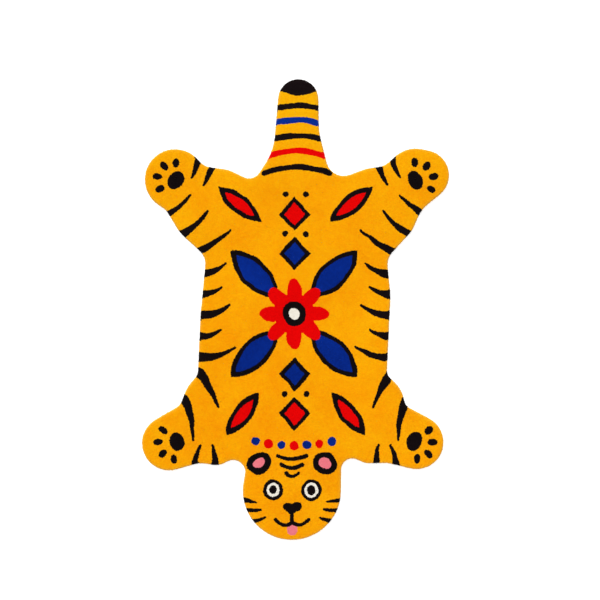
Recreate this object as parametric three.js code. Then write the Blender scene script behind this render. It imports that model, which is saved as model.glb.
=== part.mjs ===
// A tufted rug in the outline of a tiger pelt, lying flat. It is 1000 mm wide and 1500 mm long, with +Z up.
// The head is at -Y and the tail at +Y. The origin is on the underside, midway along the length and the width.
import * as THREE from "three";

// Driving sizes, in millimetres.
const backingThickness = 2;
const pileHeight = 12;
// The pile is trimmed round along the rim, and the rug's weight presses the lower half of that edge flatter.
const rimRounding = 6;
const pressedRim = 2.5;
const rimSteps = 4;
// The longest straight step along a curve of the outline.
const outlineStep = 14;

// The outline is a chain of round bulges of the rug and round hollows of the floor beside it.
// They follow each other anticlockwise, seen from above, and a straight line that touches both joins two of them.
// x and y are the middle of each round stretch, measured from the middle of the rug.
const outlineTurns = [
  { at: "head", turn: "bulge", x: -12, y: -590, radius: 160 },
  { at: "right cheek", turn: "hollow", x: 185, y: -521, radius: 36 },
  { at: "right elbow", turn: "bulge", x: 240, y: -438, radius: 63 },
  { at: "right forearm", turn: "hollow", x: 288, y: -610, radius: 110 },
  { at: "right front paw", turn: "bulge", x: 394, y: -432, radius: 88 },
  { at: "right wrist", turn: "hollow", x: 386, y: -292, radius: 32 },
  { at: "right shoulder", turn: "bulge", x: 256, y: -308, radius: 98 },
  { at: "right armpit", turn: "hollow", x: 331, y: -199, radius: 33 },
  { at: "right flank", turn: "bulge", x: 114, y: 42, radius: 195 },
  { at: "right groin", turn: "hollow", x: 360, y: 146, radius: 60 },
  { at: "right thigh", turn: "bulge", x: 307, y: 304, radius: 86 },
  { at: "right hock", turn: "hollow", x: 508, y: 250, radius: 120 },
  { at: "outer right hind paw", turn: "bulge", x: 418, y: 437, radius: 82 },
  { at: "inner right hind paw", turn: "bulge", x: 391, y: 425, radius: 99 },
  { at: "right ankle", turn: "hollow", x: 265, y: 519, radius: 55 },
  { at: "right rump", turn: "bulge", x: 247, y: 389, radius: 71 },
  { at: "right tail root", turn: "hollow", x: 157, y: 492, radius: 57 },
  { at: "right tail side", turn: "hollow", x: 307, y: 609, radius: 231 },
  { at: "tail tip", turn: "bulge", x: 9, y: 684, radius: 66 },
  { at: "left tail side", turn: "hollow", x: -268, y: 583, radius: 201 },
  { at: "left tail root", turn: "hollow", x: -151, y: 466, radius: 39 },
  { at: "left rump", turn: "bulge", x: -239, y: 381, radius: 76 },
  { at: "left ankle", turn: "hollow", x: -271, y: 516, radius: 53 },
  { at: "left hind paw", turn: "bulge", x: -392, y: 423, radius: 99 },
  { at: "left hock", turn: "hollow", x: -450, y: 295, radius: 39 },
  { at: "left thigh", turn: "bulge", x: -248, y: 355, radius: 165 },
  { at: "left groin", turn: "hollow", x: -352, y: 148, radius: 58 },
  { at: "left flank", turn: "bulge", x: -114, y: -32, radius: 196 },
  { at: "left armpit", turn: "hollow", x: -349, y: -200, radius: 31 },
  { at: "left shoulder", turn: "bulge", x: -266, y: -305, radius: 100 },
  { at: "left wrist", turn: "hollow", x: -404, y: -289, radius: 34 },
  { at: "left front paw", turn: "bulge", x: -411, y: -435, radius: 89 },
  { at: "left forearm", turn: "hollow", x: -308, y: -578, radius: 77 },
  { at: "left elbow", turn: "bulge", x: -258, y: -450, radius: 57 },
  { at: "left cheek", turn: "hollow", x: -203, y: -529, radius: 39 },
];

const centreOf = (row) => new THREE.Vector2(row.x, row.y);

// The radius with a sign: positive where the outline turns left, negative where it turns right.
const signedRadius = (row) => (row.turn === "bulge" ? row.radius : -row.radius);

// The outline's direction, as an angle, along the straight line from one round stretch to the next.
function directionBetween(from, to) {
  const apart = centreOf(to).sub(centreOf(from));
  const across = signedRadius(to) - signedRadius(from);
  const along = Math.sqrt(apart.lengthSq() - across * across);
  if (Number.isNaN(along)) throw new Error(`${from.at} and ${to.at} are too close together`);
  return apart.angle() - Math.atan2(across, along);
}

// The points of one round stretch, which turns from its arriving direction to its leaving one.
function pointsOfTurn(row, arriving, leaving) {
  const side = Math.sign(signedRadius(row));
  const fullTurn = 2 * Math.PI;
  const turned = ((((leaving - arriving) * side) % fullTurn) + fullTurn) % fullTurn;
  const steps = Math.max(1, Math.ceil((turned * row.radius) / outlineStep));
  return Array.from({ length: steps + 1 }, (_, step) => {
    const direction = arriving + (side * turned * step) / steps;
    const fromCentre = new THREE.Vector2(Math.sin(direction), -Math.cos(direction));
    return centreOf(row).addScaledVector(fromCentre, signedRadius(row));
  });
}

function peltOutline(rows) {
  const next = (index) => rows[(index + 1) % rows.length];
  const leaving = rows.map((row, index) => directionBetween(row, next(index)));
  return rows.flatMap((row, index) => {
    const arriving = leaving[(index + rows.length - 1) % rows.length];
    return pointsOfTurn(row, arriving, leaving[index]);
  });
}

// The height in the finished rug of a point of the evenly rounded slab that it starts as.
function settledHeight(height) {
  const thickness = backingThickness + pileHeight;
  const upright = thickness - pressedRim;
  const upperSlab = thickness - rimRounding;
  if (height < rimRounding) return (height / rimRounding) * pressedRim;
  return pressedRim + ((height - rimRounding) / upperSlab) * upright;
}

function rugGeometry() {
  const thickness = backingThickness + pileHeight;
  const geometry = new THREE.ExtrudeGeometry(new THREE.Shape(peltOutline(outlineTurns)), {
    depth: thickness - 2 * rimRounding,
    bevelEnabled: true,
    bevelThickness: rimRounding,
    bevelSize: rimRounding,
    bevelOffset: -rimRounding,
    bevelSegments: rimSteps,
  });
  geometry.translate(0, 0, rimRounding);
  const position = geometry.getAttribute("position");
  for (let index = 0; index < position.count; index += 1) {
    position.setZ(index, settledHeight(position.getZ(index)));
  }
  geometry.computeVertexNormals();
  return geometry;
}

const goldWool = new THREE.MeshStandardMaterial({ color: 0xfca404, roughness: 0.95, metalness: 0 });

const rug = new THREE.Mesh(rugGeometry(), goldWool);
rug.name = "rug";

const part = new THREE.Group();
part.add(rug);

export default part;
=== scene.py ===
import math

import bmesh
import bpy
import numpy as np
from mathutils import Matrix, Vector


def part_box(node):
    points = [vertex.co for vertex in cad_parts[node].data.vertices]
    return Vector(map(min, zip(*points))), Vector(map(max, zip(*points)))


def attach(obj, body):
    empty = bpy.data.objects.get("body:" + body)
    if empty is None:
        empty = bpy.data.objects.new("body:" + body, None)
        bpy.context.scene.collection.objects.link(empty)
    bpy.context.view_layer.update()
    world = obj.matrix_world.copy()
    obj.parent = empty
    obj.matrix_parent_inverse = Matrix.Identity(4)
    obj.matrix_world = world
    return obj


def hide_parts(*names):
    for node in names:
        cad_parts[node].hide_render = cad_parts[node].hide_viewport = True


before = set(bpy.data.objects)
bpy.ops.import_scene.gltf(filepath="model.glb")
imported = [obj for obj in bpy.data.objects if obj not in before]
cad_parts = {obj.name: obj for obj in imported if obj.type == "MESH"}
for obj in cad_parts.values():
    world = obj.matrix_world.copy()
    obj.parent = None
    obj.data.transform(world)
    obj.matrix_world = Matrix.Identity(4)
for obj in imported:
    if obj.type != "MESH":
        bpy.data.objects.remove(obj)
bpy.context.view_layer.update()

# Sizes are in metres, and the tables of the rim and the pattern in millimetres, as a maker charts them.
MM = 0.001
# The shortest length that a direction is worked out from.
TINY = 1e-9

RUG_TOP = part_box("rug")[1].z
BACKING_THICKNESS = 2 * MM
BACKING_INSET = 4 * MM
CUT_SIZE = (1.0, 1.5)

# The distance between neighbouring tufts, and the share of it by which the tufting gun misses a spot.
TUFT_PITCH = 3.3 * MM
TUFT_SCATTER = 0.1
TUFT_RADIUS = 2.8 * MM
TUFT_SIDES = 5
# The thinnest and the thickest tuft, as shares of the radius.
TUFT_WIDTHS = (0.94, 1.08)
# A tuft is widest at this share of its height, and its end is frayed by this share of the radius.
TUFT_SHOULDER = 0.87
TUFT_FRAY = 0.11
# How far a tuft leans, as a share of its height, and how unevenly the pile is trimmed.
TUFT_LEAN = 0.05
PILE_UNEVENNESS = 0.2 * MM
# The shortest and longest waves in which the rows wander, the tufts lean and the pile's height varies.
WANDER_LENGTHS = (0.3, 0.9)
LEAN_LENGTHS = (0.15, 0.5)
HEIGHT_LENGTHS = (0.03, 0.2)
# A tuft next to a change of colour is drawn towards a row half a pitch from it, by this share.
ROW_DRAW = 0.6
# The most tufts that keep a piece of pile under 200,000 triangles.
MOST_TUFTS = 19900

# The trimmed tufts begin this far inside the outline.
FIELD_INSET = 5.4 * MM
# Over this width from the outline they lean out and stand lower, by up to these amounts.
RIM_LEAN_WIDTH = 19 * MM
RIM_LEAN = 0.45
RIM_DROOP = 1.2 * MM

# How the untrimmed tufts stand round the rim, from the lowest to the highest, in millimetres. Insets are
# from the outline and heights are from the floor. Each tuft leans out from its root to its tip. The last
# column is each row's share of painted highlight, a paler colour painted where the fibre sides catch
# light.
RIM_TUFTS = (
    {"root_inset": 4.6, "root_height": 0.6, "tip_inset": 2.5, "tip_height": 2.8, "highlight_share": 1.0},
    {"root_inset": 4.6, "root_height": 1.1, "tip_inset": 1.8, "tip_height": 5.6, "highlight_share": 1.0},
    {"root_inset": 5.0, "root_height": 1.6, "tip_inset": 1.8, "tip_height": 8.4, "highlight_share": 0.95},
    {"root_inset": 5.8, "root_height": 1.9, "tip_inset": 2.6, "tip_height": 11.0, "highlight_share": 0.8},
    {"root_inset": 7.2, "root_height": 1.9, "tip_inset": 4.3, "tip_height": 12.8, "highlight_share": 0.5},
)
RIM_SPACING = 2.7 * MM
RIM_UNEVENNESS = 0.25 * MM
# These tufts are thinner than the trimmed ones and end in looser fibres, by these shares.
RIM_THINNESS = 0.84
RIM_LOOSENESS = 1.7
# The rug's weight presses the lowest fibres flat this high above the floor.
PRESSED_FIBRES = 0.1 * MM

random = np.random.default_rng(41)


def waves(spots, count, lengths):
    """A smooth random height from about -1 to 1 at each spot, made of a few straight waves."""
    total = np.zeros(len(spots))
    for _ in range(count):
        heading = random.uniform(0, math.tau)
        length = random.uniform(*lengths)
        start = random.uniform(0, math.tau)
        along = spots[:, 0] * math.cos(heading) + spots[:, 1] * math.sin(heading)
        total += np.sin(along * math.tau / length + start)
    return total / math.sqrt(count)


def in_scene(name, data):
    """A new object in the scene, at the origin."""
    thing = bpy.data.objects.new(name, data)
    bpy.context.scene.collection.objects.link(thing)
    return thing


# The rug's outline


def area_within(points):
    """The area inside a ring of points, positive if they run anticlockwise."""
    following = np.roll(points, -1, axis=0)
    return np.sum(points[:, 0] * following[:, 1] - following[:, 0] * points[:, 1]) / 2


def outline_of(node):
    """The widest ring of a slab's mesh, as points in order, anticlockwise from above."""
    same_spot, same_level = 0.01 * MM, 0.05 * MM
    slab = bmesh.new()
    slab.from_mesh(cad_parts[node].data)
    bmesh.ops.remove_doubles(slab, verts=slab.verts, dist=same_spot)
    widest = max(slab.verts, key=lambda vert: vert.co.y).co.y
    level = min(vert.co.z for vert in slab.verts if vert.co.y > widest - same_spot)
    at_level = {vert for vert in slab.verts if abs(vert.co.z - level) < same_level}
    first = min(at_level, key=lambda vert: vert.co.x)
    ring = [first]
    while True:
        beside = [edge.other_vert(ring[-1]) for edge in ring[-1].link_edges]
        onward = [vert for vert in beside if vert in at_level and vert not in ring[-2:]]
        if len(ring) > 2 and first in onward:
            break
        ring.append(onward[0])
    points = np.array([vert.co.xy for vert in ring])
    slab.free()
    return points if area_within(points) > 0 else points[::-1]


def to_outline(spots, points):
    """How far inside the outline each spot lies, negative outside, and the way out of the rug there."""
    nearest = np.full(len(spots), np.inf)
    way = np.zeros_like(spots)
    inside = np.zeros(len(spots), bool)
    for start, end in zip(points, np.roll(points, -1, axis=0)):
        run = end - start
        share = np.clip((spots - start) @ run / (run @ run), 0, 1)
        offset = start + share[:, None] * run - spots
        distance = np.hypot(*offset.T)
        closer = distance < nearest
        nearest[closer] = distance[closer]
        way[closer] = offset[closer]
        spans = (start[1] > spots[:, 1]) != (end[1] > spots[:, 1])
        slope = run[0] / run[1] if run[1] else 0
        inside ^= spans & (spots[:, 0] < start[0] + (spots[:, 1] - start[1]) * slope)
    side = np.where(inside, 1, -1)
    return nearest * side, way / np.maximum(nearest, TINY)[:, None] * side[:, None]


def ways_out(points):
    """The way out of the rug at each point of its outline."""
    ahead = np.roll(points, -1, axis=0) - np.roll(points, 1, axis=0)
    return np.stack([ahead[:, 1], -ahead[:, 0]], axis=1) / np.hypot(*ahead.T)[:, None]


def along_outline(points, spacing):
    """Evenly spaced spots on the outline, and the way out of the rug at each."""
    outwards = ways_out(points)
    steps = np.hypot(*(np.roll(points, -1, axis=0) - points).T)
    reached = np.concatenate([[0], np.cumsum(steps)])
    wanted = np.linspace(0, reached[-1], int(reached[-1] / spacing), endpoint=False)
    loop, ways = np.vstack([points, points[:1]]), np.vstack([outwards, outwards[:1]])
    spots = np.stack([np.interp(wanted, reached, loop[:, axis]) for axis in (0, 1)], axis=1)
    way = np.stack([np.interp(wanted, reached, ways[:, axis]) for axis in (0, 1)], axis=1)
    return spots, way / np.hypot(*way.T)[:, None]


# The forms of the pattern. Each gives the distance of a spot from the form's edge, negative within it.


def oval(spots, row):
    turn = math.radians(row.get("turn", 0))
    offset = spots - row["at"]
    along = offset[:, 0] * math.cos(turn) + offset[:, 1] * math.sin(turn)
    across = offset[:, 1] * math.cos(turn) - offset[:, 0] * math.sin(turn)
    half_length, half_width = row["half"]
    reach = np.hypot(along / half_length, across / half_width)
    slope = np.hypot(along / half_length**2, across / half_width**2)
    return (reach - 1) * reach / np.maximum(slope, TINY)


def diamond(spots, row):
    offset = np.abs(spots - row["at"])
    half_width, half_length = row["half"]
    edge = math.hypot(1 / half_width, 1 / half_length)
    return (offset[:, 0] / half_width + offset[:, 1] / half_length - 1) / edge


def leaf(spots, row):
    """Two equal arcs that meet at the leaf's tip and root."""
    tip, root = np.array(row["tip"]), np.array(row["root"])
    half_length, half_width = np.hypot(*(tip - root)) / 2, row["half"]
    radius = (half_length**2 + half_width**2) / (2 * half_width)
    across = np.array([root[1] - tip[1], tip[0] - root[0]]) / (2 * half_length)
    sides = [(tip + root) / 2 + across * (radius - half_width) * side for side in (1, -1)]
    return np.max([np.hypot(*(spots - side).T) for side in sides], axis=0) - radius


def stroke(spots, row, steps=14):
    """A bent line whose half width changes evenly from its start to its end."""
    start, bend, end = (np.array(row[name]) for name in ("start", "bend", "end"))
    shares = np.linspace(0, 1, steps + 1)
    turns = [start * (1 - s) ** 2 + bend * 2 * s * (1 - s) + end * s * s for s in shares]
    halves = np.linspace(*row["half"], steps + 1)
    nearest = np.full(len(spots), np.inf)
    for first, last, half, next_half in zip(turns, turns[1:], halves, halves[1:]):
        run = last - first
        share = np.clip((spots - first) @ run / (run @ run), 0, 1)
        offset = spots - first - share[:, None] * run
        nearest = np.minimum(nearest, np.hypot(*offset.T) - half - share * (next_half - half))
    return nearest


FORMS = {"oval": oval, "diamond": diamond, "leaf": leaf, "stroke": stroke}
PLACES = ("at", "tip", "root", "start", "bend", "end")


def one(yarn, form, **row):
    return [dict(row, yarn=yarn, form=form)]


def pair(yarn, form, **row):
    """A form on the right side of the rug and its mirror image on the left."""
    mirrored = dict(row)
    for place in PLACES:
        if place in row:
            mirrored[place] = (-row[place][0], row[place][1])
    return one(yarn, form, **row) + one(yarn, form, **mirrored)


# The pattern


def flank_stripes(start_x=330, end_x=325, sag=12):
    """Tapered stripes that run in from the flanks, long and short by turns."""
    rows = []
    flank = (
        {"y": -152, "length": 128, "lift": 30},
        {"y": -84, "length": 84, "lift": 18},
        {"y": -16, "length": 112, "lift": 30},
        {"y": 52, "length": 84, "lift": 20},
        {"y": 118, "length": 98, "lift": 30},
    )
    for stripe in flank:
        y, length = stripe["y"], stripe["length"]
        start, end = (start_x, y), (end_x - length, y + stripe["lift"])
        bend = (start_x - length * 0.55, y - sag)
        rows += pair("black", "stroke", start=start, bend=bend, end=end, half=(18, 4))
    return rows


def leg_stripes():
    """Tapered stripes across the hips, the legs and the shoulders."""
    rows = []
    stripes = (
        {"start": (345, 178), "bend": (285, 196), "end": (212, 256), "half": (17, 4)},
        {"start": (392, 232), "bend": (330, 262), "end": (285, 318), "half": (16, 4)},
        {"start": (432, 300), "bend": (372, 330), "end": (340, 372), "half": (14, 4)},
        {"start": (266, 476), "bend": (276, 440), "end": (300, 404), "half": (14, 4)},
        {"start": (316, 500), "bend": (316, 462), "end": (338, 428), "half": (13, 4)},
        {"start": (312, -206), "bend": (270, -258), "end": (252, -318), "half": (17, 4)},
        {"start": (360, -292), "bend": (330, -360), "end": (334, -424), "half": (15, 4)},
        {"start": (326, -524), "bend": (330, -484), "end": (310, -442), "half": (14, 4)},
        {"start": (264, -516), "bend": (256, -478), "end": (270, -440), "half": (13, 4)},
    )
    for stripe in stripes:
        rows += pair("black", "stroke", **stripe)
    return rows


def back_medallion(x=-4, y=-14, petals=8, petal_reach=72):
    """A flower in the middle of the back, with a leaf on each diagonal."""
    rows = []
    for side in (1, -1):
        for end in (1, -1):
            for yarn, root, tip, half in (("black", 52, 206, 46), ("blue", 66, 189, 32)):
                near, far = (x + side * root, y + end * root), (x + side * tip, y + end * tip)
                rows += one(yarn, "leaf", tip=far, root=near, half=half)
    rows += one("red", "oval", at=(x, y), half=(67, 67))
    for petal in range(petals):
        heading = 360 * petal / petals
        across, along = math.cos(math.radians(heading)), math.sin(math.radians(heading))
        middle = (x + petal_reach * across, y + petal_reach * along)
        rows += one("red", "oval", at=middle, half=(42, 24), turn=heading)
    rows += one("black", "oval", at=(x, y), half=(39, 39))
    rows += one("white", "oval", at=(x, y), half=(18, 18))
    return rows


def spine_diamonds(x=-3):
    """Two diamonds towards the tail and two towards the head, with three pairs of dots."""
    rows = []
    for y, core in ((182, "blue"), (310, "red"), (-210, "blue"), (-338, "red")):
        rows += one("black", "diamond", at=(x, y), half=(52, 56))
        rows += one(core, "diamond", at=(x, y), half=(34, 37))
    for y in (246, 374, -274):
        rows += pair("black", "oval", at=(34, y), half=(10, 10))
    return rows


def shoulder_and_haunch_flames():
    """A leaf with a red core on each shoulder and haunch."""
    rows = pair("black", "leaf", tip=(226, -408), root=(118, -270), half=31)
    rows += pair("red", "leaf", tip=(207, -384), root=(137, -294), half=17)
    rows += pair("black", "leaf", tip=(252, 398), root=(112, 286), half=31)
    rows += pair("red", "leaf", tip=(229, 380), root=(134, 304), half=17)
    return rows


def collar_beads(count=7, middle=-5, half_span=124, neck=-428, sag=14):
    """Beads in a shallow curve across the neck, blue and red by turns."""
    rows = []
    for bead in range(count):
        share = 2 * bead / (count - 1) - 1
        yarn = "blue" if bead % 2 == 0 else "red"
        at = (middle + half_span * share, neck - sag * (1 - share**2))
        rows += one(yarn, "oval", at=at, half=(14, 14))
    return rows


def paw_pads(pad_setback=15, toes_setback=9, toe_reach=55):
    """A round pad and four toes on each paw."""
    rows = []
    paws = (
        {"x": 400, "y": -434, "heading": -22},
        {"x": 402, "y": 427, "heading": 32},
    )
    for paw in paws:
        for side in (1, -1):
            turn = paw["heading"] if side == 1 else 180 - paw["heading"]
            ahead = np.array([math.cos(math.radians(turn)), math.sin(math.radians(turn))])
            middle = np.array([side * paw["x"], paw["y"]])
            pad = tuple(middle - pad_setback * ahead)
            rows += one("black", "oval", at=pad, half=(24, 31), turn=turn)
            for spread in (-66, -22, 22, 66):
                angle = math.radians(turn + spread)
                towards = np.array([math.cos(angle), math.sin(angle)])
                toe = tuple(middle - toes_setback * ahead + toe_reach * towards)
                rows += one("black", "oval", at=toe, half=(16, 11), turn=turn + spread)
    return rows


def tail_rings(left=-100, right=110, droop=16, rise=26):
    """Bent rings across the tail, and its black tip."""
    rows = []
    for y, yarn in ((458, "black"), (510, "red"), (560, "black"), (610, "blue"), (658, "black")):
        ends = {"start": (left, y - droop), "end": (right, y - droop)}
        bend = ((left + right) / 2, y + rise)
        rows += one(yarn, "stroke", bend=bend, half=(9.5, 9.5), **ends)
    return rows + one("black", "oval", at=(9, 752), half=(90, 56))


def ears_and_eyes(middle):
    rows = []
    for side in (1, -1):
        ear, eye = (middle + side * 107, -499), (middle + side * 62, -586)
        turn = -35 if side == 1 else 215
        for yarn, half in (("black", (41, 35)), ("pink", (21, 16))):
            rows += one(yarn, "oval", at=ear, half=half, turn=turn)
        for yarn, half in (("black", (32, 35)), ("white", (21, 24)), ("black", (13, 15))):
            rows += one(yarn, "oval", at=eye, half=half)
    return rows


def forehead_curves(middle, end_lift=6, sag=14):
    rows = []
    for y, half_span in ((-482, 46), (-510, 34), (-537, 20)):
        start, end = (middle - half_span, y + end_lift), (middle + half_span, y + end_lift)
        rows += one("black", "stroke", start=start, bend=(middle, y - sag), end=end, half=(6.5, 6.5))
    return rows


def cheek_stripes(middle, sag=3):
    rows = []
    cheek = (
        {"y": -618, "rim": 170, "length": 54, "lift": -8},
        {"y": -652, "rim": 160, "length": 56, "lift": 2},
        {"y": -686, "rim": 140, "length": 50, "lift": 10},
    )
    for stripe in cheek:
        y, length = stripe["y"], stripe["length"]
        for side in (1, -1):
            rim = middle + side * stripe["rim"]
            bend = (rim - side * length / 2, y - sag)
            end = (rim - side * length, y + stripe["lift"])
            rows += one("black", "stroke", start=(rim, y), bend=bend, end=end, half=(9, 4))
    return rows


def nose_and_smile(middle):
    """A nose of three ovals, a line down to the lip, a smile, and the tip of a tongue."""
    lip = (middle, -692)
    rows = one("pink", "oval", at=(middle, -712), half=(17, 21))
    rows += one("black", "stroke", start=(middle, -650), bend=(middle, -672), end=lip, half=(6, 6))
    for side in (1, -1):
        smile = {"bend": (middle + side * 26, -712), "end": (middle + side * 54, -682)}
        rows += one("black", "stroke", start=lip, half=(6, 6), **smile)
    for side in (1, -1):
        rows += one("black", "oval", at=(middle + side * 12, -641), half=(19, 15), turn=side * 20)
    return rows + one("black", "oval", at=(middle, -652), half=(14, 12))


def face(middle=-11):
    """A plain tiger's face, from its ears to its tongue."""
    return (
        ears_and_eyes(middle)
        + forehead_curves(middle)
        + cheek_stripes(middle)
        + nose_and_smile(middle)
    )


def pattern():
    """Every form of the pattern, in the order in which they cover each other."""
    return (
        flank_stripes()
        + leg_stripes()
        + back_medallion()
        + spine_diamonds()
        + shoulder_and_haunch_flames()
        + collar_beads()
        + paw_pads()
        + tail_rings()
        + face()
    )


# The two directions in which a spot is moved on the rug.
ACROSS_AND_ALONG = (np.array([1, 0]), np.array([0, 1]))


def hand_drawn(spots, unevenness=1.5, lengths=(34, 110)):
    """Where each spot falls in the pattern, in millimetres, as a hand draws it a little unevenly."""
    drawn = spots / MM
    for way in ACROSS_AND_ALONG:
        drawn = drawn + unevenness * waves(spots / MM, 5, lengths)[:, None] * way
    return drawn


def yarn_at(drawn, forms):
    """The yarn at each drawn spot, and how far that spot is from the next change of yarn."""
    yarn = np.full(len(drawn), "gold", dtype="<U5")
    room = np.full(len(drawn), np.inf)
    for row in forms:
        beyond = FORMS[row["form"]](drawn, row)
        within = beyond < 0
        room = np.where(within, -beyond, np.minimum(room, beyond))
        yarn[within] = row["yarn"]
    return yarn, room * MM


def drawn_to_rows(spots, drawn, forms, room, probe=0.3):
    """Moves the tufts beside a change of yarn into a row along it, as the gun follows a drawn line."""
    beside = room < TUFT_PITCH
    near = drawn[beside]
    rise = [
        yarn_at(near + probe * way, forms)[1] - yarn_at(near - probe * way, forms)[1]
        for way in ACROSS_AND_ALONG
    ]
    away = np.stack(rise, axis=1)
    away /= np.maximum(np.hypot(*away.T), TINY)[:, None]
    short = (TUFT_PITCH / 2 - room[beside]) * ROW_DRAW
    moved = spots.copy()
    moved[beside] += away * short[:, None]
    return moved


# The tufts


def field_of_tufts(points):
    """The spots of the tufts inside the rim, in wandering rows, each offset by half a pitch."""
    low, high = points.min(axis=0), points.max(axis=0)
    row_gap = TUFT_PITCH * math.sqrt(3) / 2
    x, y = np.meshgrid(
        np.arange(low[0], high[0], TUFT_PITCH), np.arange(low[1], high[1], row_gap)
    )
    x[1::2] += TUFT_PITCH / 2
    spots = np.stack([x.ravel(), y.ravel()], axis=1)
    wander = np.stack([waves(spots, 4, WANDER_LENGTHS) for _ in range(2)], axis=1)
    spots = spots + wander * TUFT_PITCH + random.normal(0, TUFT_SCATTER, spots.shape) * TUFT_PITCH
    inset, _ = to_outline(spots, points)
    return spots[inset > FIELD_INSET]


def pile_of_field(points, forms):
    """Root, tip, yarn and share of painted rim highlight of each tuft inside the rim, and that its end is
    trimmed flat.
    """
    spots = field_of_tufts(points)
    drawn = hand_drawn(spots)
    yarn, room = yarn_at(drawn, forms)
    spots = drawn_to_rows(spots, drawn, forms, room)
    inset, way = to_outline(spots, points)
    lean = np.stack([waves(spots, 4, LEAN_LENGTHS) for _ in range(2)], axis=1) * TUFT_LEAN
    lean += random.normal(0, TUFT_LEAN, lean.shape)
    outer = np.clip(1 - inset / RIM_LEAN_WIDTH, 0, 1) ** 2
    lean += way * (outer * RIM_LEAN)[:, None]
    uneven = waves(spots, 5, HEIGHT_LENGTHS) / 2 + random.normal(0, 1, len(spots))
    height = RUG_TOP - BACKING_THICKNESS - outer * RIM_DROOP + PILE_UNEVENNESS * uneven
    foot = spots - lean * height[:, None] / 2
    root = np.column_stack([foot, np.full(len(spots), BACKING_THICKNESS)])
    tip = root + np.column_stack([lean * height[:, None], height])
    # The tufts nearest the outline take on a share of the painted rim highlight.
    return root, tip, yarn, outer**2, np.ones(len(root), bool)


def along_rim_profile(level, label):
    """A size from the table of rim tufts, at levels that may lie between two of its rows."""
    return np.interp(level, range(len(RIM_TUFTS)), [row[label] for row in RIM_TUFTS])


def pile_of_rim(points, forms):
    """The same for the untrimmed tufts round the rim, which hide the backing's edge."""
    roots, tips, rim_highlight = [], [], []
    line, way = along_outline(points, RIM_SPACING)
    for row in range(len(RIM_TUFTS)):
        spots = line + random.normal(0, RIM_UNEVENNESS, line.shape)
        level = row + random.uniform(-0.5, 0.5, len(spots))
        for end, ends in (("root", roots), ("tip", tips)):
            inset = along_rim_profile(level, end + "_inset") * MM
            height = along_rim_profile(level, end + "_height") * MM
            ends.append(np.column_stack([spots - way * inset[:, None], height]))
        # Each row's share of the painted rim highlight.
        rim_highlight.append(along_rim_profile(level, "highlight_share"))
    root, tip = np.vstack(roots), np.vstack(tips)
    yarn, _ = yarn_at(hand_drawn(tip[:, :2]), forms)
    return root, tip, yarn, np.concatenate(rim_highlight), np.zeros(len(root), bool)


def tuft_form():
    """One cut tuft, one high and one in radius. It spreads from its root to a low round crown."""
    tuft = bmesh.new()
    bmesh.ops.create_cone(
        tuft,
        cap_ends=True,
        cap_tris=True,
        segments=TUFT_SIDES,
        radius1=0,
        radius2=1,
        depth=TUFT_SHOULDER,
        matrix=Matrix.Translation((0, 0, TUFT_SHOULDER / 2)),
    )
    bmesh.ops.remove_doubles(tuft, verts=tuft.verts, dist=0.01)
    upper = [vert for vert in tuft.verts if vert.co.z > TUFT_SHOULDER / 2]
    crown = [vert for vert in upper if vert.co.xy.length < 0.5]
    bmesh.ops.translate(tuft, verts=crown, vec=(0, 0, 1 - TUFT_SHOULDER))
    bmesh.ops.triangulate(tuft, faces=tuft.faces)
    bmesh.ops.recalc_face_normals(tuft, faces=tuft.faces)
    corners = np.array([vert.co for vert in tuft.verts])
    faces = np.array([[vert.index for vert in face.verts] for face in tuft.faces])
    tuft.free()
    lowest_first = np.argsort(corners[faces, 2].mean(axis=1), kind="stable")
    return corners, faces[lowest_first]


def directions_across(up):
    """Two directions across each tuft, which is turned by chance about its own length."""
    turn = random.uniform(0, math.tau, len(up))
    aside = np.stack([np.cos(turn), np.sin(turn), np.zeros(len(up))], axis=1)
    across = np.cross(up, aside)
    across /= np.linalg.norm(across, axis=1)[:, None]
    return np.cross(across, up), across


def corners_of_tufts(corners, root, tip, trimmed):
    """Where the form's corners fall on each tuft, from its root to its frayed tip."""
    stand = tip - root
    along, across = directions_across(stand / np.linalg.norm(stand, axis=1)[:, None])
    width = random.uniform(*TUFT_WIDTHS, len(root))
    radius = TUFT_RADIUS * width * np.where(trimmed, 1, RIM_THINNESS)
    at_end = corners[:, 2] > 0.5
    fray = random.normal(0, TUFT_FRAY, (len(root), len(corners), 3)) * at_end[:, None]
    fray *= np.where(trimmed, 1, RIM_LOOSENESS)[:, None, None]
    placed = (
        root[:, None]
        + along[:, None] * (corners[:, 0] * radius[:, None])[:, :, None]
        + across[:, None] * (corners[:, 1] * radius[:, None])[:, :, None]
        + stand[:, None] * corners[None, :, 2, None]
        + fray * TUFT_RADIUS
    )
    placed[..., 2] = np.maximum(placed[..., 2], PRESSED_FIBRES)
    return placed


def planted(name, root, tip, rim_highlight, trimmed):
    """One piece of pile: a copy of the tuft from each root to its tip, joined in one mesh."""
    corners, faces = tuft_form()
    count = len(root)
    places = corners_of_tufts(corners, root, tip, trimmed).reshape(-1, 3)
    first = np.arange(count)[None, :, None] * len(corners)
    # The crowns come last, because a map seen from above keeps the last of the faces in one place.
    copies = (faces[:, None] + first).reshape(-1, 3)
    mesh = bpy.data.meshes.new(name)
    mesh.from_pydata(places, [], copies)
    mesh.polygons.foreach_set("use_smooth", np.ones(len(mesh.polygons), bool))
    crease_shoulders(mesh, corners, trimmed)
    per_corner = {
        "tone": np.repeat(random.uniform(0, 1, count), len(corners)),
        "tip": np.tile(corners[:, 2], count),
        "rim_highlight": np.repeat(rim_highlight, len(corners)),
    }
    for label, values in per_corner.items():
        mesh.attributes.new(label, "FLOAT", "POINT").data.foreach_set("value", values)
    lay_flat_map(mesh)
    return in_scene(name, mesh)


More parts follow.
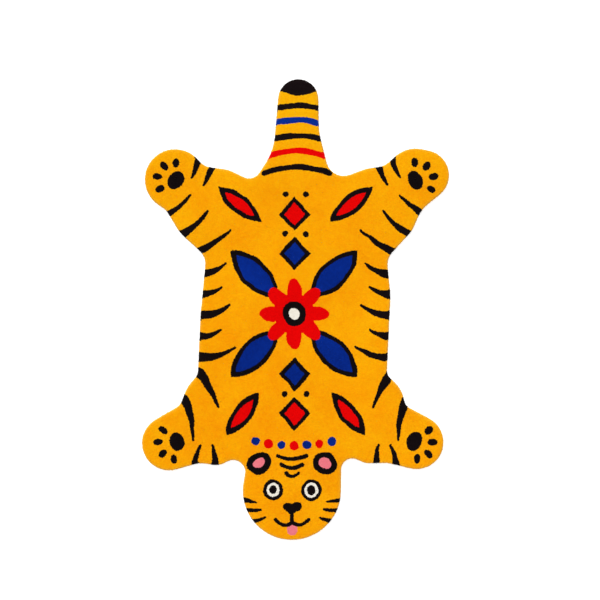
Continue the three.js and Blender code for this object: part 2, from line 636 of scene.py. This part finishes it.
def crease_shoulders(mesh, corners, trimmed):
    """Shades the cut crown of each trimmed tuft apart from the fibres below it."""
    ends = np.zeros(len(mesh.edges) * 2, int)
    mesh.edges.foreach_get("vertices", ends)
    tuft, corner = np.divmod(ends.reshape(-1, 2), len(corners))
    shoulder = np.hypot(corners[:, 0], corners[:, 1]) > 0.5
    mesh.edges.foreach_set("use_edge_sharp", shoulder[corner].all(axis=1) & trimmed[tuft[:, 0]])


def lay_flat_map(mesh):
    """A map of the piece as seen from above, as large as the image allows."""
    places = np.zeros(len(mesh.vertices) * 3)
    mesh.vertices.foreach_get("co", places)
    flat = places.reshape(-1, 3)[:, :2]
    low = flat.min(axis=0)
    flat = (flat - low) / (flat - low).max()
    corner_verts = np.zeros(len(mesh.loops), int)
    mesh.loops.foreach_get("vertex_index", corner_verts)
    layer = mesh.uv_layers.new(name="OFBake")
    layer.data.foreach_set("uv", flat[corner_verts].ravel())


def base_cloth(points):
    """The backing: a thin cloth under the pile, cut a little inside the outline."""
    cut = points - ways_out(points) * BACKING_INSET
    cloth = bmesh.new()
    low = [cloth.verts.new((x, y, 0)) for x, y in cut]
    high = [cloth.verts.new((x, y, BACKING_THICKNESS)) for x, y in cut]
    # Blender's extrusion gives another order of faces on each run, so each face is made in turn.
    cloth.faces.new(low[::-1])
    cloth.faces.new(high[::-1])
    for place in range(len(cut)):
        cloth.faces.new((low[place - 1], low[place], high[place], high[place - 1]))
    bmesh.ops.triangulate(cloth, faces=cloth.faces)
    bmesh.ops.recalc_face_normals(cloth, faces=cloth.faces)
    mesh = bpy.data.meshes.new("base_cloth")
    cloth.to_mesh(mesh)
    cloth.free()
    return in_scene("base_cloth", mesh)


# The parts of a finish


def new_group(name, inputs, outputs):
    """A shader node group with the given sockets, and its input and output nodes."""
    group = bpy.data.node_groups.new(name, "ShaderNodeTree")
    for label, kind, value in inputs:
        socket = group.interface.new_socket(label, in_out="INPUT", socket_type="NodeSocket" + kind)
        socket.default_value = value
    for label, kind in outputs:
        group.interface.new_socket(label, in_out="OUTPUT", socket_type="NodeSocket" + kind)
    return group, group.nodes.new("NodeGroupInput"), group.nodes.new("NodeGroupOutput")


def new_material(name, roughness):
    """A material, its node tree and its surface shader."""
    material = bpy.data.materials.new(name)
    material.use_nodes = True
    shader = material.node_tree.nodes["Principled BSDF"]
    shader.inputs["Roughness"].default_value = roughness
    return material, material.node_tree, shader


def feed(tree, socket, value):
    """Links a socket to another node's output, or sets it to a plain value."""
    if isinstance(value, bpy.types.NodeSocket):
        tree.links.new(value, socket)
    else:
        socket.default_value = value


def value_of(tree, name):
    node = tree.nodes.new("ShaderNodeAttribute")
    node.attribute_name = name
    return node.outputs["Fac"]


def math_of(tree, operation, first, second):
    node = tree.nodes.new("ShaderNodeMath")
    node.operation = operation
    for socket, value in zip(node.inputs, (first, second)):
        feed(tree, socket, value)
    return node.outputs["Value"]


def mix_of(tree, blend, factor, first, second):
    node = tree.nodes.new("ShaderNodeMix")
    node.data_type = "RGBA"
    node.blend_type = blend
    colours = [socket for socket in node.inputs if socket.type == "RGBA"]
    for socket, value in zip((node.inputs["Factor"], *colours), (factor, first, second)):
        feed(tree, socket, value)
    return next(socket for socket in node.outputs if socket.type == "RGBA")


def noise_of(tree, coordinates, scale, detail=2.0, roughness=0.5):
    node = tree.nodes.new("ShaderNodeTexNoise")
    node.inputs["Scale"].default_value = scale
    node.inputs["Detail"].default_value = detail
    node.inputs["Roughness"].default_value = roughness
    tree.links.new(coordinates, node.inputs["Vector"])
    return node.outputs["Fac"]


def range_of(tree, value, low, high, to_low=0, to_high=1):
    """Stretches a value that runs from low to high, so that it runs between two others."""
    node = tree.nodes.new("ShaderNodeMapRange")
    ends = {"From Min": low, "From Max": high, "To Min": to_low, "To Max": to_high}
    for label, number in ends.items():
        node.inputs[label].default_value = number
    tree.links.new(value, node.inputs["Value"])
    return node.outputs["Result"]


def axes_of(tree, place):
    node = tree.nodes.new("ShaderNodeSeparateXYZ")
    tree.links.new(place, node.inputs["Vector"])
    return node.outputs


def bump_of(tree, height, strength, distance):
    node = tree.nodes.new("ShaderNodeBump")
    node.inputs["Strength"].default_value = strength
    node.inputs["Distance"].default_value = distance
    tree.links.new(height, node.inputs["Height"])
    return node.outputs["Normal"]


# Finishes

# The patches of dye are about six to the metre, with finer ones within them.
DYE_PATCHES = {"scale": 6.0, "detail": 5.0, "roughness": 0.68}
PATCH_RANGE = (0.34, 0.66)
# Painted highlight: the pile is painted paler towards the tail, on the side of the lamp. A share of the
# light colour is added along each stretch of the rug.
PAINTED_LIGHT_TOWARDS_TAIL = (
    {"from": -0.70, "to": 0.42, "added": 0.10},
    {"from": 0.42, "to": 0.74, "added": 0.39},
)
# How much of the rim's painted highlight colour a tuft takes on where that painted highlight is
# strongest.
RIM_HIGHLIGHT_SHARE = 0.7
# The fibres are much finer than a tuft, and drawn out along its height.
FIBRES = {"scale": 1500.0, "detail": 2.0}
FIBRE_RANGE = (0.35, 0.65)
FIBRE_STRETCH = (1, 1, 0.3)
# Painted shade: a tuft is painted darker from the second of these heights down to the first, towards this
# colour, standing in for the shade deep in the pile.
ROOT_SHADE_RANGE = (0.2, 0.85)
ROOT_SHADE_COLOUR = (0.1, 0.08, 0.07, 1)


def uneven_dye_and_painted_light(group, given, place):
    """How light the dye is: uneven in patches and from tuft to tuft, with a painted highlight that makes
    it paler towards the tail.
    """
    patches = range_of(group, noise_of(group, place, **DYE_PATCHES), *PATCH_RANGE)
    patches = math_of(group, "MULTIPLY", patches, given.outputs["Patchiness"])
    tone = math_of(group, "MULTIPLY", value_of(group, "tone"), given.outputs["Tuft tone"])
    dye = math_of(group, "ADD", patches, tone)
    along_rug = axes_of(group, place)["Y"]
    # Painted highlight: the pile is painted paler towards the tail.
    for stretch in PAINTED_LIGHT_TOWARDS_TAIL:
        added = range_of(group, along_rug, stretch["from"], stretch["to"], 0, stretch["added"])
        dye = math_of(group, "ADD", dye, added)
    return dye


def wool_dye_and_painted_light_group():
    """The yarn's colour, uneven in dye, tuft and fibre, with a painted highlight at the rim and towards
    the tail, and painted shade at the roots.
    """
    grey = (0.5, 0.5, 0.5, 1)
    group, given, made = new_group(
        "wool_dye_and_painted_light",
        (
            ("Deep", "Color", grey),
            ("Light", "Color", grey),
            ("Rim highlight", "Color", grey),
            ("Patchiness", "Float", 0.5),
            ("Tuft tone", "Float", 0.3),
            ("Fibre tone", "Float", 0.3),
            ("Root shade", "Float", 0.4),
        ),
        (("Color", "Color"), ("Height", "Float")),
    )
    place = group.nodes.new("ShaderNodeTexCoord").outputs["Object"]
    dye = uneven_dye_and_painted_light(group, given, place)
    colour = mix_of(group, "MIX", dye, given.outputs["Deep"], given.outputs["Light"])
    # Painted highlight: tufts at the rim are painted towards a paler colour, as if the sides of their
    # fibres caught the light.
    rim_highlight = math_of(group, "MULTIPLY", value_of(group, "rim_highlight"), RIM_HIGHLIGHT_SHARE)
    colour = mix_of(group, "MIX", rim_highlight, colour, given.outputs["Rim highlight"])
    along_tuft = group.nodes.new("ShaderNodeVectorMath")
    along_tuft.operation = "MULTIPLY"
    along_tuft.inputs[1].default_value = FIBRE_STRETCH
    group.links.new(place, along_tuft.inputs[0])
    fibres = noise_of(group, along_tuft.outputs["Vector"], **FIBRES)
    between_fibres = range_of(group, fibres, *FIBRE_RANGE, 1, 0)
    darker = math_of(group, "MULTIPLY", between_fibres, given.outputs["Fibre tone"])
    colour = mix_of(group, "MULTIPLY", darker, colour, colour)
    # Painted shade: the lower part of each tuft is painted darker, standing in for the shade between the
    # tufts.
    depth = range_of(group, value_of(group, "tip"), *ROOT_SHADE_RANGE, 1, 0)
    shade = math_of(group, "MULTIPLY", depth, given.outputs["Root shade"])
    colour = mix_of(group, "MULTIPLY", shade, colour, ROOT_SHADE_COLOUR)
    group.links.new(colour, made.inputs["Color"])
    group.links.new(fibres, made.inputs["Height"])
    return group


def wool(name, deep, light, rim, patchiness=0.34, tuft_tone=0.34):
    """Cut wool pile in one dye."""
    material, tree, shader = new_material(name, roughness=0.95)
    shader.inputs["Specular IOR Level"].default_value = 0.04
    shader.inputs["Sheen Weight"].default_value = 0.25
    shader.inputs["Sheen Roughness"].default_value = 0.5
    shader.inputs["Sheen Tint"].default_value = (*light, 1)
    dye = tree.nodes.new("ShaderNodeGroup")
    dye.node_tree = bpy.data.node_groups.get("wool_dye_and_painted_light") or wool_dye_and_painted_light_group()
    # The rim colour is a painted highlight, paler than the yarn itself.
    for label, colour in (("Deep", deep), ("Light", light), ("Rim highlight", rim)):
        dye.inputs[label].default_value = (*colour, 1)
    dye.inputs["Patchiness"].default_value = patchiness
    dye.inputs["Tuft tone"].default_value = tuft_tone
    tree.links.new(dye.outputs["Color"], shader.inputs["Base Color"])
    fibres = bump_of(tree, dye.outputs["Height"], strength=1.0, distance=0.8 * MM)
    tree.links.new(fibres, shader.inputs["Normal"])
    return material


def canvas(name="cotton_canvas", threads_per_metre=700.0, soiling=0.25):
    """Plain woven cotton, its threads over and under each other, a little soiled in patches."""
    thread, gap, soiled = (0.72, 0.63, 0.48, 1), (0.50, 0.41, 0.29, 1), (0.75, 0.7, 0.62, 1)
    material, tree, shader = new_material(name, roughness=0.95)
    place = tree.nodes.new("ShaderNodeTexCoord").outputs["Object"]
    axes = axes_of(tree, place)
    turns = threads_per_metre * math.pi
    threads = [
        math_of(tree, "SINE", math_of(tree, "MULTIPLY", axes[axis], turns), 0)
        for axis in ("X", "Y")
    ]
    turned = math_of(tree, "COSINE", math_of(tree, "MULTIPLY", axes["Z"], turns), 0)
    crossing = math_of(tree, "MULTIPLY", math_of(tree, "MULTIPLY", *threads), turned)
    weave = range_of(tree, crossing, -1, 1)
    worn = range_of(tree, noise_of(tree, place, scale=9.0, detail=4.0), 0.3, 0.7)
    colour = mix_of(tree, "MIX", weave, gap, thread)
    colour = mix_of(tree, "MULTIPLY", math_of(tree, "MULTIPLY", worn, soiling), colour, soiled)
    tree.links.new(colour, shader.inputs["Base Color"])
    tree.links.new(bump_of(tree, weave, strength=0.5, distance=0.5 * MM), shader.inputs["Normal"])
    return material


# The rug

# The two ends of each dye, and a paler colour painted on the rim as a painted highlight, where the fibre
# sides catch the light.
YARNS = {
    "gold": {
        "deep": (0.863, 0.286, 0.0002),
        "light": (0.94, 0.538, 0.0021),
        "rim": (0.88, 0.54, 0.062),
    },
    "black": {
        "deep": (0.003, 0.0017, 0.0020),
        "light": (0.011, 0.0060, 0.0070),
        "rim": (0.02, 0.012, 0.009),
    },
    "blue": {
        "deep": (0.001, 0.013, 0.16),
        "light": (0.003, 0.036, 0.36),
        "rim": (0.008, 0.055, 0.38),
    },
    "red": {
        "deep": (0.68, 0.0003, 0.0005),
        "light": (0.86, 0.0010, 0.0013),
        "rim": (0.86, 0.02, 0.016),
    },
    "pink": {
        "deep": (0.79, 0.19, 0.23),
        "light": (0.86, 0.27, 0.32),
        "rim": (0.88, 0.32, 0.36),
    },
    "white": {
        "deep": (0.80, 0.75, 0.65),
        "light": (0.90, 0.87, 0.79),
        "rim": (0.92, 0.89, 0.81),
    },
}
GOLD_PARTS = ("head", "shoulders", "back", "haunches")


def pile_pieces(points):
    """The pile in one piece for each yarn, with the gold pile in a few from the head to the tail."""
    forms = pattern()
    parts = zip(pile_of_field(points, forms), pile_of_rim(points, forms))
    root, tip, yarn, rim_highlight, trimmed = (np.concatenate(part) for part in parts)
    pile = []
    for dye, colours in YARNS.items():
        finish = wool(dye + "_wool", **colours)
        own = np.flatnonzero(yarn == dye)
        own = own[np.argsort(root[own, 1], kind="stable")]
        names = [dye + "_pile"]
        if dye == "gold":
            names = [f"gold_pile_{part}" for part in GOLD_PARTS]
        for name, share in zip(names, np.array_split(own, len(names))):
            if len(share) > MOST_TUFTS:
                raise ValueError(f"{name} has {len(share)} tufts")
            piece = planted(name, root[share], tip[share], rim_highlight[share], trimmed[share])
            piece.data.materials.append(finish)
            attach(piece, "root")
            pile.append(piece)
    return pile


def rug():
    """The pile, and the backing cloth that holds it."""
    points = outline_of("rug")
    pile = pile_pieces(points)
    cloth = base_cloth(points)
    cloth.data.materials.append(canvas())
    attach(cloth, "root")
    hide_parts("rug")


# The studio


def white_floor(size=80.0, drop=0.2 * MM):
    """A floor of white paper, just under the rug so that the two don't share a face."""
    plane = bmesh.new()
    bmesh.ops.create_grid(plane, x_segments=1, y_segments=1, size=size / 2)
    bmesh.ops.translate(plane, verts=plane.verts, vec=(0, 0, -drop))
    mesh = bpy.data.meshes.new("floor")
    plane.to_mesh(mesh)
    plane.free()
    floor = in_scene("floor", mesh)
    paper, _, shader = new_material("white_paper", roughness=1.0)
    shader.inputs["Base Color"].default_value = (0.7, 0.7, 0.7, 1)
    shader.inputs["Emission Color"].default_value = (1, 1, 1, 1)
    shader.inputs["Emission Strength"].default_value = 0.6
    mesh.materials.append(paper)


def studio_light(from_all_round=0.65, backdrop=1.0, lamp_strength=2.5, lamp_degrees=35):
    """Even white light from all round, and a broad soft lamp from beyond the tail, on the left."""
    scene = bpy.context.scene
    scene.world = bpy.data.worlds.new("studio")
    scene.world.use_nodes = True
    tree = scene.world.node_tree
    background = tree.nodes["Background"]
    background.inputs["Color"].default_value = (1, 1, 1, 1)
    # The backdrop is brighter as the camera sees it than as a light.
    seen = tree.nodes.new("ShaderNodeLightPath").outputs["Is Camera Ray"]
    strength = range_of(tree, seen, 0, 1, from_all_round, backdrop)
    tree.links.new(strength, background.inputs["Strength"])
    lamp = bpy.data.lights.new("softbox", "SUN")
    lamp.energy = lamp_strength
    lamp.angle = math.radians(lamp_degrees)
    holder = in_scene("softbox", lamp)
    from_lamp = Vector((-0.35, 0.85, 0.85))
    holder.rotation_euler = from_lamp.to_track_quat("Z", "Y").to_euler()
    scene.view_settings.view_transform = "Standard"
    scene.view_settings.look = "None"


def camera_above():
    """Straight above the rug, with the tail at the top and the rug just below the picture's middle."""
    picture_width = 600
    rug_middle = (295.5, 309.5)
    rug_length_in_picture = 462
    metres_per_pixel = CUT_SIZE[1] / rug_length_in_picture
    camera = bpy.data.cameras.new("camera")
    camera.lens = 60
    distance = picture_width * metres_per_pixel * camera.lens / camera.sensor_width
    holder = in_scene("camera", camera)
    holder.location = (
        (picture_width / 2 - rug_middle[0]) * metres_per_pixel,
        (rug_middle[1] - picture_width / 2) * metres_per_pixel,
        distance + RUG_TOP,
    )
    bpy.context.scene.camera = holder


camera_above()
rug()
white_floor()
studio_light()
